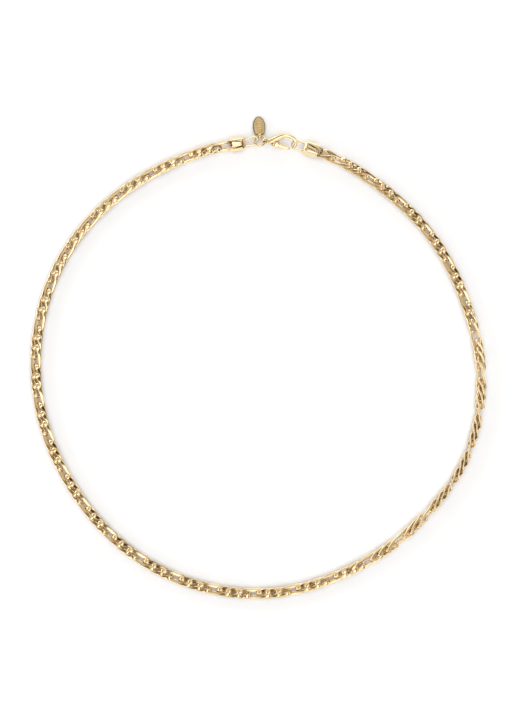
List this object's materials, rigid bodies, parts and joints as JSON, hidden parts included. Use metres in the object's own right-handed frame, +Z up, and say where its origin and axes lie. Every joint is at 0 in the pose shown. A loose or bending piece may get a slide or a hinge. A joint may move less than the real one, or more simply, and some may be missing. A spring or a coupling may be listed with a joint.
{
  "type": "necklace",
  "caption": "Gold-coloured figaro chain necklace lying as a closed round loop, with folded end caps, a jump ring, a small oval tag and a lobster clasp.",
  "frame": {"origin": "on the surface the necklace lies on, in the middle of its outline", "axes": "+Z up from that surface, +Y towards the clasp and the tag, +X towards the end cap that the clasp hooks into"},
  "size_m": [0.1466, 0.1552, 0.0046],
  "materials": {
    "chain_gold": "polished yellow gold plate",
    "cap_gold": "polished yellow gold plate",
    "fittings_gold": "polished yellow gold plate",
    "tag_gold": "yellow gold plate, darker in its recess"
  },
  "bodies": {
    "necklace": {"chain_right": "chain_gold", "chain_left": "chain_gold", "end_cap_right": "cap_gold", "end_cap_left": "cap_gold", "jump_ring": "fittings_gold", "tag": "tag_gold", "clasp_body": "fittings_gold", "clasp_pin": "fittings_gold"},
    "lever": {"clasp_lever": "fittings_gold"}
  },
  "joints": [
    {"name": "clasp_lever_hinge", "type": "hinge", "parent": "necklace", "child": "lever", "pos_m": [0.00579, 0.0684, 0.00217], "axis": [-0.0279, -0.2067, 0.978], "range_deg": [0, 28], "stiffness_Nm_per_rad": 0.001, "springref_deg": -28.65}
  ]
}
